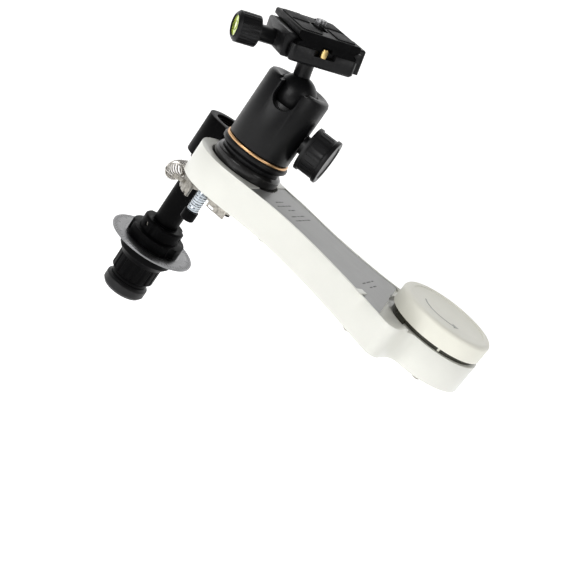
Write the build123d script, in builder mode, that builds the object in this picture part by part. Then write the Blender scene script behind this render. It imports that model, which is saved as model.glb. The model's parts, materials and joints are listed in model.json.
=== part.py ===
from build123d import *
import math
import os

# Clockwork star tracker with ball head, quick release clamp and polar finder.
# Frame: origin at the mouth of the tripod socket in the underside of the arm, +Z along the polar axis,
# +X from the rotor towards the winding drum.  Millimetres.

os.makedirs("parts", exist_ok=True)

# ---- driving dimensions -------------------------------------------------------------------------
ROTOR_X, ROTOR_Y = -70.0, 6.0        # rotor axis
TOP_Z = 19.8                         # rim of the arm above its underside
L = 150.0                            # rotor axis to winding axis
R_END = 30.4                         # rounded end under the ball head
R_DRUM = 30.0                        # drum end
WALL = 2.0
PLATE_Z = -0.5                       # label plate face below the rim
PLATE_T = 1.0
RIM = 1.2
R_CAP = 29.6
CAP_Z0, CAP_Z1 = 0.75, 12.4
R_CAN = 27.3
R_BASE = 22.2                        # rotor base
R_BODY = 20.6                        # ball head body
Z_GOLD0, Z_GOLD1 = 13.5, 15.2
Z_HEAD = 60.0                        # rim of the ball head body
Z_BALL = 52.0
R_BALL = 13.5
GAP = 0.3
NOTCH_AZ = -78.5                     # direction of the drop notch
KNOB_AZ = 11.5                       # direction of the ball lock knob
FIND_X, FIND_Y = -35.5, 28.4         # polar finder axis from the rotor axis
R_FIND = 8.6
SECTOR_M = 1.2                       # gear module: 240 tooth circle and 10 tooth pinion on 150 mm centres
MESH_AZ = -4.7
SOCKET_R = 3.97
# direction of the camera platform as it stands: u between the jaws, n up
U = Vector(0.666, 0.703, 0.245).normalized()
N = Vector(-0.204, -0.142, 0.967)
N = (N - U * N.dot(U)).normalized()


def at(x, y, z):
    """Plane parallel to the arm at a point given from the rotor axis and the rim."""
    return Plane(origin=(x + ROTOR_X, y + ROTOR_Y, z + TOP_Z))


def pol(r, az, cx=0.0, cy=0.0):
    return (cx + r * math.cos(math.radians(az)), cy + r * math.sin(math.radians(az)))


def side(x, y, z, az):
    """Plane whose normal lies in the arm's plane, at azimuth az."""
    n = (math.cos(math.radians(az)), math.sin(math.radians(az)), 0)
    return Plane(origin=(x + ROTOR_X, y + ROTOR_Y, z + TOP_Z), x_dir=(0, 0, 1), z_dir=n)


BALL_O = Vector(ROTOR_X, ROTOR_Y, Z_BALL + TOP_Z)
W = N.cross(U) * -1.0                # towards the front of the platform


def top(a, b, c):
    """Plane of the camera platform: a along the jaws' screw, b to the front, c up from the ball."""
    o = BALL_O + U * a + W * b + N * c
    return Plane(origin=o, x_dir=U, z_dir=N)


def top_u(a, b, c):
    """Plane across the clamp screw, normal along +u."""
    o = BALL_O + U * a + W * b + N * c
    return Plane(origin=o, x_dir=N, z_dir=U)


def involute_pts(m, z, add, ded, backlash, n_flank=6, pa=20.0):
    """Half angle profile (radius, half angle in radians) of one tooth from root to tip."""
    rp = m * z / 2
    rb = rp * math.cos(math.radians(pa))
    inv = lambda a: math.tan(a) - a
    half = math.pi / (2 * z) - backlash / (2 * rp)
    rr, rt = rp - ded, rp + add
    out = []
    r0 = max(rb, rr)
    if rr < rb:
        out.append((rr, half + inv(math.radians(pa)) - 0.0))
    for i in range(n_flank + 1):
        r = r0 + (rt - r0) * i / n_flank
        a = math.acos(min(1.0, rb / r))
        out.append((r, half + inv(math.radians(pa)) - inv(a)))
    return out


def gear_outline(m, z, add, ded, backlash, phase_deg):
    prof = involute_pts(m, z, add, ded, backlash)
    pts = []
    for k in range(z):
        c = math.radians(phase_deg) + 2 * math.pi * k / z
        pts += [(r * math.cos(c - h), r * math.sin(c - h)) for r, h in prof]
        pts += [(r * math.cos(c + h), r * math.sin(c + h)) for r, h in reversed(prof)]
    return pts


# ---- plan of the arm ----------------------------------------------------------------------------
def arm_curve(inset=0.0):
    """Closed outline points as lines/splines; inset shrinks it along the local normal."""
    i = inset
    e, d = R_END - i, R_DRUM - i
    near = [pol(e, -83), (20, -27.9 + i), (40, -25.9 + i), (60, -27.7 + i), (78, -31.8 + i * 1.02), (96, -37.0 + i * 1.05),
            (114, -43.6 + i * 1.07), (128, -49.4 + i * 1.07), (134.0, -51.6 + i * 1.05)]
    corner = [(134.0, -51.6 + i * 1.05), (138.6 - i * 0.6, -50.6 + i * 0.9), (141.4 - i, -45.5 + i * 0.4)]
    neck = [(141.4 - i, -45.5 + i * 0.4), (142.4 - i, -39.0), (144.4 - i * 0.8, -33.0 + i * 0.2), pol(d, -92 + i * 1.2, L, 0)]
    far = [pol(d, 128, L, 0), (119, 19.6 - i), (103, 16.9 - i), (86, 16.4 - i), (70, 17.3 - i), (52, 20.4 - i), (34, 24.3 - i), pol(e, 68)]
    return near, corner, neck, far, e, d


def arm_face(inset=0.0):
    near, corner, neck, far, e, d = arm_curve(inset)
    with BuildSketch(Plane.XY, mode=Mode.PRIVATE) as s:
        with BuildLine():
            a1 = ThreePointArc(pol(e, 68), (-e, 0), pol(e, -83))
            s1 = Spline(*near, tangents=[(0.99, 0.12), (0.94, -0.30)])
            s2 = Spline(*corner, tangents=[(0.94, -0.30), (0.18, 0.98)])
            s3 = Spline(*neck, tangents=[(0.18, 0.98), (0.98, 0.05)])
            a2 = ThreePointArc(neck[-1], pol(d, 18, L, 0), pol(d, 128, L, 0))
            s4 = Spline(*far, tangents=[(-0.79, -0.61), (-0.93, 0.37)])
        make_face()
    return s.sketch


def arm_sketch(z, inset=0.0):
    return at(0, 0, z) * arm_face(inset)


# ---- upper housing ------------------------------------------------------------------------------
def drum_side_of_line(dx):
    """Everything on the drum's side of the slanting line where the label plate ends."""
    with BuildSketch(Plane.XY) as sk:
        Polygon((106.1 + dx, 60), (130.7 + dx, -60), (330, -60), (330, 60), align=None)
    return sk.sketch


DECK_Z0 = -4.6                         # underside of the deck
Z_BOT = -TOP_Z
outer_face = arm_face(0.0)
inner_face = arm_face(WALL)
rim_face = arm_face(RIM)

POSTS = [(-20.5, -15.0), (-20.5, 15.0), (33, 17.8), (42, -21.0), (118.0, -41.2), (160.6, -24.2)]
SEC_Z, SEC_T = -12.0, 3.0            # toothed sector, below the bearing and above the tripod socket
BEAR_Z = -8.6                        # underside of the upper bearing and its boss

with BuildPart() as upper_housing:
    with BuildSketch(at(0, 0, Z_BOT)):
        add(outer_face)
    extrude(amount=TOP_Z)
    try:
        fillet(upper_housing.edges().group_by(Axis.Z)[-1], 1.1)
    except Exception:
        pass
    try:
        fillet(upper_housing.edges().group_by(Axis.Z)[0], 0.8)
    except Exception:
        pass
    # hollow from below
    with BuildSketch(at(0, 0, Z_BOT)):
        add(inner_face)
    extrude(amount=TOP_Z + DECK_Z0, mode=Mode.SUBTRACT)
    # recess for the label plate, between the rotor pocket and the drum
    with BuildSketch(at(0, 0, PLATE_Z - PLATE_T)):
        add(rim_face)
        with BuildSketch(mode=Mode.PRIVATE) as _left:
            with Locations((-40 + 19.8, 0)):
                Rectangle(80, 140)
        add(_left.sketch, mode=Mode.SUBTRACT)
        with Locations((L, 0)):
            Circle(31.6, mode=Mode.SUBTRACT)
        add(drum_side_of_line(0.0), mode=Mode.SUBTRACT)
    extrude(amount=6, mode=Mode.SUBTRACT)
    # lowered wedge between the label plate's end and the drum
    with BuildSketch(at(0, 0, -1.8)):
        add(rim_face)
        add(drum_side_of_line(0.0), mode=Mode.INTERSECT)
        with Locations((L - 10 + 60, 0)):
            Rectangle(120, 200, mode=Mode.SUBTRACT)
    extrude(amount=6, mode=Mode.SUBTRACT)
    # lowered collar round the drum, with a deeper groove on the arm's side
    with BuildSketch(at(0, 0, -1.8)):
        with Locations((L, 0)):
            Circle(35.6)
        add(drum_side_of_line(0.0), mode=Mode.INTERSECT)
    extrude(amount=6, mode=Mode.SUBTRACT)
    with BuildSketch(at(L, 0, -3.9)):
        Circle(31.6)
        with Locations((28.0, 0)):
            Rectangle(80, 80, mode=Mode.SUBTRACT)
    extrude(amount=6, mode=Mode.SUBTRACT)
    # rotor pocket and bearing seat
    with BuildSketch(at(0, 0, -3.7)):
        Circle(23.4)
    extrude(amount=6, mode=Mode.SUBTRACT)
    with BuildSketch(at(0, 0, BEAR_Z)):
        Circle(16.0)
    extrude(amount=DECK_Z0 + 0.01 - BEAR_Z)
    with BuildSketch(at(0, 0, BEAR_Z)):
        Circle(12.0)
    extrude(amount=12, mode=Mode.SUBTRACT)
    # well for the clockwork can
    with BuildSketch(at(L, 0, DECK_Z0 - 0.5)):
        Circle(R_CAN)
    extrude(amount=10, mode=Mode.SUBTRACT)
    # screw posts for the bottom cover
    with BuildSketch(at(0, 0, Z_BOT + 2.0)):
        with Locations(*POSTS[:5]):
            Circle(3.4)
    extrude(amount=DECK_Z0 - Z_BOT - 1.9)
    with BuildSketch(at(0, 0, Z_BOT + 2.0)):
        with Locations(POSTS[5]):
            Circle(3.2)
    extrude(amount=9.6)
    with BuildSketch(at(0, 0, Z_BOT + 2.0)):
        with Locations(*POSTS):
            Circle(1.25)
    extrude(amount=8, mode=Mode.SUBTRACT)
    # relief in the corner wall for the swing of the toothed sector
    with BuildSketch(at(0, 0, SEC_Z - 0.6)):
        with BuildLine():
            Polyline(pol(130, -20.2), pol(145.5, -20.2), pol(145.5, -16.5), pol(130, -16.5), close=True)
        make_face()
    extrude(amount=SEC_T + 1.2, mode=Mode.SUBTRACT)
    # threaded holes for the finder bracket in the rounded end
    with BuildSketch(side(*pol(R_END - 4, 141.3), -8.0, 141.3)):
        with Locations((0, -6.0), (0, 6.0)):
            Circle(1.25)
    extrude(amount=8, mode=Mode.SUBTRACT)


def save(bp, name):
    p = bp.part
    p.label = name
    export_step(p, "parts/" + name + ".step")


save(upper_housing, "upper_housing")

SOCK = (-ROTOR_X, -ROTOR_Y)          # tripod socket from the rotor axis
PIN_XY = pol(L, MESH_AZ)             # drive pinion axis
STUD_XY = (-2.2, -25.6)
HOOK_XY = ((5.0, -23.6), (16.0, -23.6))

# ---- bottom cover -------------------------------------------------------------------------------
with BuildPart() as bottom_cover:
    with BuildSketch(at(0, 0, Z_BOT)):
        add(arm_face(WALL + 0.1))
    extrude(amount=2.0)
    with BuildSketch(at(0, 0, Z_BOT + 2.0)):
        with Locations(SOCK):
            Circle(9.0)
    extrude(amount=5.0)
    with BuildSketch(at(0, 0, Z_BOT)):
        with Locations(SOCK):
            Circle(6.5)
        with Locations((0, 0)):
            Circle(9.0)
    extrude(amount=12, mode=Mode.SUBTRACT)
    with BuildSketch(at(0, 0, Z_BOT)):
        with Locations(*POSTS):
            Circle(1.4)
        with Locations(STUD_XY):
            Circle(1.65)
        with Locations(*HOOK_XY):
            Circle(1.35)
    extrude(amount=2, mode=Mode.SUBTRACT)
    with BuildSketch(at(0, 0, Z_BOT + 1.0)):
        with Locations(PIN_XY):
            Circle(1.55)
        with Locations((L, 0)):
            Circle(2.05)
    extrude(amount=1, mode=Mode.SUBTRACT)
save(bottom_cover, "bottom_cover")

with BuildPart() as cover_screws:
    with BuildSketch(at(0, 0, Z_BOT - 1.2)):
        with Locations(*POSTS):
            Circle(2.6)
    extrude(amount=1.2)
    chamfer(cover_screws.edges().group_by(Axis.Z)[0], 0.4)
    with BuildSketch(at(0, 0, Z_BOT)):
        with Locations(*POSTS):
            Circle(1.25)
    extrude(amount=8)
    with BuildSketch(at(0, 0, Z_BOT - 1.2)):
        with Locations(*POSTS):
            RegularPolygon(1.2, 6)
    extrude(amount=0.8, mode=Mode.SUBTRACT)
save(cover_screws, "cover_screws")

with BuildPart() as tripod_socket:
    with BuildSketch(at(0, 0, Z_BOT)):
        with Locations(SOCK):
            Circle(6.5)
    extrude(amount=7.0)
    with BuildSketch(at(0, 0, Z_BOT)):
        with Locations(SOCK):
            Circle(SOCKET_R)
    extrude(amount=6.0, mode=Mode.SUBTRACT)
save(tripod_socket, "tripod_socket")

# ---- label plate and its clip -------------------------------------------------------------------
with BuildPart() as label_plate:
    with BuildSketch(at(0, 0, PLATE_Z - PLATE_T)):
        add(arm_face(RIM + 0.15))
        with BuildSketch(mode=Mode.PRIVATE) as _l2:
            with Locations((-40 + 20.0, 0)):
                Rectangle(80, 140)
        add(_l2.sketch, mode=Mode.SUBTRACT)
        Circle(23.9, mode=Mode.SUBTRACT)
        with Locations((L, 0)):
            Circle(31.8, mode=Mode.SUBTRACT)
        add(drum_side_of_line(-0.2), mode=Mode.SUBTRACT)
    extrude(amount=PLATE_T)
save(label_plate, "label_plate")

CLIP = (111.2, -41.2)
with BuildPart() as plate_clip:
    with BuildSketch(at(CLIP[0], CLIP[1], 0.0)):
        with Locations(Location((0, 0, 0), -14)):
            Rectangle(4.4, 8.0)
    extrude(amount=0.9)
    fillet(plate_clip.edges().group_by(Axis.Z)[-1], 0.5)
save(plate_clip, "plate_clip")

# ---- rotor: shaft, bearings, sector arm, base ---------------------------------------------------
with BuildPart() as rotor_shaft:
    with BuildSketch(at(0, 0, -30.4)):
        Circle(6.0)
    extrude(amount=30.4 + 22.0)
    with BuildSketch(at(0, 0, -30.4)):
        RegularPolygon(2.5, 6)
    extrude(amount=4, mode=Mode.SUBTRACT)
    chamfer(rotor_shaft.edges().filter_by(GeomType.CIRCLE), 0.5)
save(rotor_shaft, "rotor_shaft")

with BuildPart() as top_bearing:
    with BuildSketch(at(0, 0, BEAR_Z)):
        Circle(12.0)
        Circle(6.06, mode=Mode.SUBTRACT)
    extrude(amount=-3.75 - BEAR_Z)
save(top_bearing, "top_bearing")

with BuildPart() as bottom_bush:
    with BuildSketch(at(0, 0, Z_BOT)):
        Circle(9.0)
        Circle(6.06, mode=Mode.SUBTRACT)
    extrude(amount=3.0)
    with BuildSketch(at(0, 0, Z_BOT + 2.0)):
        Circle(10.6)
        Circle(9.0, mode=Mode.SUBTRACT)
    extrude(amount=1.0)
save(bottom_bush, "bottom_bush")

mid = MESH_AZ
prof = involute_pts(SECTOR_M, 240, 0.62, 1.35, 0.16, 4)
sec_pts = []
for k in range(-5, 6):
    c = math.radians(mid + 1.5 * k)
    sec_pts += [(r * math.cos(c - h), r * math.sin(c - h)) for r, h in prof]
    sec_pts += [(r * math.cos(c + h), r * math.sin(c + h)) for r, h in reversed(prof)]
inner = [pol(r, mid + a) for r, a in ((142.0, 7.75), (139.4, 6.0), (136.0, 3.4), (136.0, 0), (136.0, -3.4), (139.4, -6.0), (142.0, -7.75))]
with BuildPart() as sector_arm:
    with BuildSketch(at(0, 0, SEC_Z)):
        with BuildLine():
            Polyline(*(sec_pts + inner), close=True)
        make_face()
    extrude(amount=SEC_T)
    with BuildSketch(at(0, 0, SEC_Z)):
        Circle(11.0)
        with BuildLine():
            Polyline(pol(9.5, mid + 44), pol(137.5, mid + 2.5), pol(137.5, mid - 2.5), pol(9.5, mid - 44), close=True)
        make_face()
    extrude(amount=SEC_T)
    with BuildSketch(at(0, 0, SEC_Z)):
        Circle(6.0)
        with BuildLine():
            Polyline(pol(30, mid + 6), pol(118, mid + 1.4), pol(118, mid - 1.4), pol(30, mid - 6), close=True)
        make_face()
    extrude(amount=SEC_T, mode=Mode.SUBTRACT)
save(sector_arm, "sector_arm")

with BuildPart() as rotor_base:
    with BuildSketch(Plane(origin=(ROTOR_X, ROTOR_Y, TOP_Z), x_dir=(1, 0, 0), z_dir=(0, -1, 0))):
        with BuildLine():
            Polyline((6.0, -3.3), (20.9, -3.3), (R_BASE, -2.2), (R_BASE, 4.9), (20.6, 6.4), (6.0, 6.4), close=True)
        make_face()
    revolve(axis=Axis((ROTOR_X, ROTOR_Y, 0), (0, 0, 1)))
save(rotor_base, "rotor_base")

with BuildPart() as pan_base:
    with BuildSketch(Plane(origin=(ROTOR_X, ROTOR_Y, TOP_Z), x_dir=(1, 0, 0), z_dir=(0, -1, 0))):
        with BuildLine():
            Polyline((6.0, 6.4), (19.4, 6.4), (19.4, 8.4), (21.6, 10.2), (22.2, 10.8), (22.2, 12.6), (21.4, Z_GOLD0), (6.0, Z_GOLD0), close=True)
        make_face()
    revolve(axis=Axis((ROTOR_X, ROTOR_Y, 0), (0, 0, 1)))
save(pan_base, "pan_base")

with BuildPart() as gold_ring:
    with BuildSketch(at(0, 0, Z_GOLD0)):
        Circle(21.2)
        Circle(14.0, mode=Mode.SUBTRACT)
    extrude(amount=Z_GOLD1 - Z_GOLD0)
    chamfer(gold_ring.edges().group_by(Axis.Z)[-1].sort_by(SortBy.LENGTH)[-1], 0.4)
save(gold_ring, "gold_ring")

with BuildPart() as spring_drum:
    with BuildSketch(at(0, 0, -29.8)):
        Circle(27.6)
        Circle(26.0, mode=Mode.SUBTRACT)
    extrude(amount=8.4)
    with BuildSketch(at(0, 0, -24.0)):
        Circle(26.0)
    extrude(amount=2.0)
    with BuildSketch(at(0, 0, -28.0)):
        Circle(10.0)
    extrude(amount=4.0)
    with BuildSketch(at(0, 0, -30.0)):
        Circle(6.0)
        with PolarLocations(18, 6, start_angle=30):
            Circle(3.2)
    extrude(amount=12, mode=Mode.SUBTRACT)
    # gap for the anchor stud
    with BuildSketch(at(0, 0, -30.5)):
        with BuildLine():
            Polyline(pol(19, 247), pol(36, 247), pol(44, 262), pol(50, 290), pol(50, 330), pol(50, 10), pol(40, 50), pol(19, 50), pol(19, 10), pol(19, 320), pol(19, 280), close=True)
        make_face()
    extrude(amount=10, mode=Mode.SUBTRACT)
    # slots along the lower rim
    with BuildSketch(at(0, 0, -30.0)):
        with PolarLocations(26.8, 24):
            Rectangle(4, 2.2)
    extrude(amount=1.7, mode=Mode.SUBTRACT)
    # lug that takes the spring's hook
    with BuildSketch(at(0, 0, -27.6)):
        with Locations(Location((*pol(30.5, 216), 0), 216)):
            Rectangle(7.0, 2.4)
    extrude(amount=2.2)
save(spring_drum, "spring_drum")

R_COIL = 5.6
with BuildPart() as counter_spring:
    with BuildSketch(side(*pol(34.2, 207.0), -26.5, 207.0 + 90)):
        Circle(R_COIL)
        Circle(R_COIL - 1.6, mode=Mode.SUBTRACT)
    revolve(axis=Axis((ROTOR_X, ROTOR_Y, 0), (0, 0, -1)), revolution_arc=40.0)
save(counter_spring, "counter_spring")

# ---- fixed pieces under the rounded end ---------------------------------------------------------
with BuildPart() as anchor_stud:
    with BuildSketch(at(STUD_XY[0], STUD_XY[1], -35.4)):
        Circle(3.3)
    extrude(amount=35.4 + Z_BOT)
    with BuildSketch(at(STUD_XY[0], STUD_XY[1], Z_BOT)):
        Circle(1.6)
    extrude(amount=3.0)
save(anchor_stud, "anchor_stud")

with BuildPart() as stud_cap:
    with BuildSketch(at(STUD_XY[0], STUD_XY[1], -40.2)):
        Circle(4.4)
    extrude(amount=6.4)
    fillet(stud_cap.edges().group_by(Axis.Z)[0], 1.2)
    with BuildSketch(at(STUD_XY[0], STUD_XY[1], -35.4)):
        Circle(3.3)
    extrude(amount=3.0, mode=Mode.SUBTRACT)
save(stud_cap, "stud_cap")

with BuildPart() as hook_bar:
    with BuildSketch(at(10.6, -24.6, Z_BOT - 1.4)):
        SlotOverall(17.0, 6.0)
    extrude(amount=1.4)
    with BuildSketch(at(10.6, -27.1, Z_BOT - 5.4)):
        Rectangle(13.0, 1.2)
    extrude(amount=5.4)
    with BuildSketch(Plane(origin=(ROTOR_X + 10.6, ROTOR_Y - 30, TOP_Z + Z_BOT - 3.4), x_dir=(1, 0, 0), z_dir=(0, 1, 0))):
        with Locations((-3.4, 1.0)):
            SlotOverall(4.4, 1.7)
    extrude(amount=6, mode=Mode.SUBTRACT)
    with BuildSketch(at(0, 0, Z_BOT - 2)):
        with Locations(*HOOK_XY):
            Circle(1.35)
    extrude(amount=2, mode=Mode.SUBTRACT)
save(hook_bar, "hook_bar")

with BuildPart() as hook_screws:
    with BuildSketch(at(0, 0, Z_BOT - 3.0)):
        with Locations(*HOOK_XY):
            Circle(2.4)
    extrude(amount=1.6)
    with BuildSketch(at(0, 0, Z_BOT - 1.5)):
        with Locations(*HOOK_XY):
            Circle(1.3)
    extrude(amount=4.0)
    with BuildSketch(at(0, 0, Z_BOT - 3.0)):
        with Locations(*HOOK_XY):
            Rectangle(3.6, 0.6)
    extrude(amount=0.7, mode=Mode.SUBTRACT)
save(hook_screws, "hook_screws")

# ---- clockwork ----------------------------------------------------------------------------------
CAN_Z0, CAN_Z1 = -5.0, 9.4
with BuildPart() as clockwork_can:
    with BuildSketch(at(L, 0, CAN_Z0)):
        Circle(R_CAN)
    extrude(amount=CAN_Z1 - CAN_Z0)
    with BuildSketch(at(L, 0, CAN_Z0 + 1.4)):
        Circle(R_CAN - 1.2)
    extrude(amount=20, mode=Mode.SUBTRACT)
    with BuildSketch(at(L, 0, CAN_Z0)):
        Circle(2.06)
    extrude(amount=2, mode=Mode.SUBTRACT)
    with BuildSketch(at(PIN_XY[0], PIN_XY[1], CAN_Z0)):
        Circle(1.56)
    extrude(amount=0.9, mode=Mode.SUBTRACT)
save(clockwork_can, "clockwork_can")

with BuildPart() as can_lid:
    with BuildSketch(at(L, 0, CAN_Z1 - 1.0)):
        Circle(R_CAN - 1.2)
        Circle(2.06, mode=Mode.SUBTRACT)
    extrude(amount=1.0)
save(can_lid, "can_lid")

with BuildPart() as index_mark:
    with BuildSketch(side(*pol(R_CAN + 0.02, -66, L, 0), -0.4, -66)):
        Rectangle(2.0, 1.3)
    extrude(amount=0.5)
save(index_mark, "index_mark")

with BuildPart() as mainspring:
    n_t, r0, r1 = 7, 8.0, 23.0
    a_pts, b_pts = [], []
    for i in range(n_t * 16 + 1):
        t = i / 16.0
        r = r0 + (r1 - r0) * t / n_t
        a_pts.append(pol(r, 360 * t))
        b_pts.append(pol(r + 0.45, 360 * t))
    with BuildSketch(at(L, 0, CAN_Z0 + 2.0)):
        with BuildLine():
            Polyline(*(a_pts + b_pts[::-1]), close=True)
        make_face()
    extrude(amount=5.0)
save(mainspring, "mainspring")

with BuildPart() as balance_wheel:
    with BuildSketch(at(L + 12, 10, 6.4)):
        Circle(6.5)
        Circle(5.4, mode=Mode.SUBTRACT)
        Rectangle(11.4, 1.2)
        Circle(1.6)
    extrude(amount=1.0)
    with BuildSketch(at(L + 12, 10, 4.2)):
        Circle(0.6)
    extrude(amount=4.0)
save(balance_wheel, "balance_wheel")

with BuildPart() as winding_spindle:
    with BuildSketch(at(L, 0, Z_BOT + 1.1)):
        Circle(2.0)
    extrude(amount=11.2 - (Z_BOT + 1.1))
save(winding_spindle, "winding_spindle")

TG_M = 2 * math.dist(PIN_XY, (L, 0)) / 32
ps = math.degrees(math.atan2(0 - PIN_XY[1], L - PIN_XY[0]))
TG_Z, TG_T = -16.6, 2.6
with BuildPart() as spindle_gear:
    with BuildSketch(at(L, 0, TG_Z)):
        with BuildLine():
            Polyline(*gear_outline(TG_M, 16, 0.7 * TG_M, 1.15 * TG_M, 0.14, ps + 180 + 11.25), close=True)
        make_face()
        Circle(2.0, mode=Mode.SUBTRACT)
    extrude(amount=TG_T)
save(spindle_gear, "spindle_gear")

with BuildPart() as drive_pinion:
    with BuildSketch(at(PIN_XY[0], PIN_XY[1], SEC_Z)):
        with BuildLine():
            Polyline(*gear_outline(SECTOR_M, 10, 0.75 * SECTOR_M, 1.3 * SECTOR_M, 0.16, MESH_AZ + 180 + 18), close=True)
        make_face()
    extrude(amount=SEC_T + 0.5)
    with BuildSketch(at(PIN_XY[0], PIN_XY[1], Z_BOT + 1.15)):
        Circle(1.5)
    extrude(amount=CAN_Z0 + 0.8 - (Z_BOT + 1.15))
    with BuildSketch(at(PIN_XY[0], PIN_XY[1], TG_Z)):
        with BuildLine():
            Polyline(*gear_outline(TG_M, 16, 0.7 * TG_M, 1.15 * TG_M, 0.14, ps), close=True)
        make_face()
    extrude(amount=TG_T)
save(drive_pinion, "drive_pinion")

with BuildPart() as winding_cap:
    with BuildSketch(at(L, 0, CAP_Z0)):
        Circle(R_CAP)
    extrude(amount=CAP_Z1 - CAP_Z0)
    fillet(winding_cap.edges().group_by(Axis.Z)[-1], 2.6)
    fillet(winding_cap.edges().group_by(Axis.Z)[0], 0.5)
    with BuildSketch(at(L, 0, CAP_Z1 - 0.5)):
        Circle(24.2)
    extrude(amount=2, mode=Mode.SUBTRACT)
    with BuildSketch(at(L, 0, CAP_Z0)):
        Circle(R_CAN + 0.5)
        Circle(5.0, mode=Mode.SUBTRACT)
    extrude(amount=CAN_Z1 + 0.4 - CAP_Z0, mode=Mode.SUBTRACT)
    with BuildSketch(at(L, 0, CAP_Z0)):
        Circle(6.0)
    extrude(amount=CAN_Z1 + 0.4 - CAP_Z0, mode=Mode.SUBTRACT)
    with BuildSketch(at(L, 0, CAP_Z0)):
        Circle(2.0)
    extrude(amount=11.2 - CAP_Z0, mode=Mode.SUBTRACT)
save(winding_cap, "winding_cap")

# ---- ball head ----------------------------------------------------------------------------------
ax_rot = Axis((ROTOR_X, ROTOR_Y, 0), (0, 0, 1))
vert = Plane(origin=(ROTOR_X, ROTOR_Y, TOP_Z), x_dir=(1, 0, 0), z_dir=(0, -1, 0))
with BuildPart() as head_body:
    with BuildSketch(vert):
        with BuildLine():
            Polyline((6.06, 15.5), (R_BODY - 0.5, 15.5), (R_BODY, 16.0), (R_BODY, Z_HEAD - 2.6), (R_BODY - 0.8, Z_HEAD - 0.8), (R_BODY - 2.6, Z_HEAD),
                     (15.8, Z_HEAD), (12.5, 58.6), (12.97, 57.0), (13.45, 55.5), (13.75, 54.0), (13.85, 52.0), (13.85, 22.4), (6.06, 22.4), close=True)
        make_face()
    revolve(axis=ax_rot)
    # notch
    nd = side(0, 0, 44.0 + 7.4, NOTCH_AZ)
    with BuildSketch(nd):
        Circle(7.4)
        with Locations((8.0, 0)):
            Rectangle(16.0, 14.8)
        with Locations((9.6, 0)):
            Rectangle(5.0, 20.0)
    extrude(amount=30, mode=Mode.SUBTRACT)
    # bore for the lock screw
    with BuildSketch(side(0, 0, 32.6, KNOB_AZ)):
        Circle(3.06)
    extrude(amount=30, mode=Mode.SUBTRACT)
    with BuildSketch(side(*pol(R_BODY - 0.6, KNOB_AZ), 32.6, KNOB_AZ)):
        Circle(6.4)
    extrude(amount=4, mode=Mode.SUBTRACT)
save(head_body, "head_body")

with BuildPart() as ball_seat:
    with BuildSketch(vert):
        with BuildLine():
            Polyline((0, 36.0), (13.6, 36.0), (13.6, 46.5), (12.95, 46.5), (10.9, 43.0), (7.7, 40.1), (4.0, 38.3), (0, 37.7), close=True)
        make_face()
    revolve(axis=ax_rot)
save(ball_seat, "ball_seat")

with BuildPart() as lock_wedge:
    with BuildSketch(at(0, 0, 26.0)):
        Circle(9.0)
    extrude(amount=9.7)
    with BuildSketch(side(*pol(4.0, KNOB_AZ), 32.6, KNOB_AZ)):
        Circle(3.4)
    extrude(amount=10, mode=Mode.SUBTRACT)
save(lock_wedge, "lock_wedge")

with BuildPart() as lock_screw:
    with BuildSketch(side(*pol(4.4, KNOB_AZ), 32.6, KNOB_AZ)):
        Circle(3.0)
    extrude(amount=30.0)
save(lock_screw, "lock_screw")

with BuildPart() as lock_knob:
    kd = side(*pol(R_BODY - 0.2, KNOB_AZ), 32.6, KNOB_AZ)
    with BuildSketch(kd):
        Circle(6.0)
    extrude(amount=4.4)
    with BuildSketch(side(*pol(24.0, KNOB_AZ), 32.6, KNOB_AZ)):
        Circle(14.2)
    extrude(amount=2.2)
    with BuildSketch(side(*pol(26.2, KNOB_AZ), 32.6, KNOB_AZ)):
        Circle(13.4)
    extrude(amount=10.2)
    with BuildSketch(side(*pol(27.0, KNOB_AZ), 32.6, KNOB_AZ)):
        with PolarLocations(13.9, 24):
            Rectangle(1.7, 1.5)
    extrude(amount=8.4, mode=Mode.SUBTRACT)
    with BuildSketch(side(*pol(24.0, KNOB_AZ), 32.6, KNOB_AZ)):
        Circle(3.0)
    extrude(amount=10.4, mode=Mode.SUBTRACT)
    with BuildSketch(kd):
        Circle(3.0)
    extrude(amount=6, mode=Mode.SUBTRACT)
save(lock_knob, "lock_knob")

with BuildPart() as lock_knob_cap:
    with BuildSketch(side(*pol(36.4, KNOB_AZ), 32.6, KNOB_AZ)):
        Circle(14.4)
    extrude(amount=2.9)
    fillet(lock_knob_cap.edges().filter_by(GeomType.CIRCLE), 0.7)
    with BuildSketch(side(*pol(38.7, KNOB_AZ), 32.6, KNOB_AZ)):
        Circle(11.0)
    extrude(amount=2, mode=Mode.SUBTRACT)
save(lock_knob_cap, "lock_knob_cap")

with BuildPart() as head_ball:
    with BuildSketch(vert):
        with BuildLine():
            RadiusArc((0, Z_BALL - R_BALL), (0, Z_BALL + R_BALL), -R_BALL)
            Line((0, Z_BALL + R_BALL), (0, Z_BALL - R_BALL))
        make_face()
    revolve(axis=ax_rot)
save(head_ball, "head_ball")

with BuildPart() as ball_stem:
    with BuildSketch(top(0, 0, 11.5)):
        Circle(5.1)
    extrude(amount=12.5)
    with BuildSketch(top(0, 0, 20.0)):
        Circle(5.1)
    with BuildSketch(top(0, 0, 24.0)):
        Circle(7.0)
    loft()
    with BuildSketch(top(0, 0, 14.0)):
        Circle(2.0)
    extrude(amount=12, mode=Mode.SUBTRACT)
_cut = Solid.make_sphere(R_BALL + GAP, Plane(origin=BALL_O), -90, 90, 360)
ball_stem.part = ball_stem.part - _cut
save(ball_stem, "ball_stem")

# ---- quick release clamp ------------------------------------------------------------------------
def across(b):
    """Plane facing away from the front at depth b; its local y runs down, so heights are negated."""
    return Plane(origin=BALL_O + W * b, x_dir=U, z_dir=W * -1.0)


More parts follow.
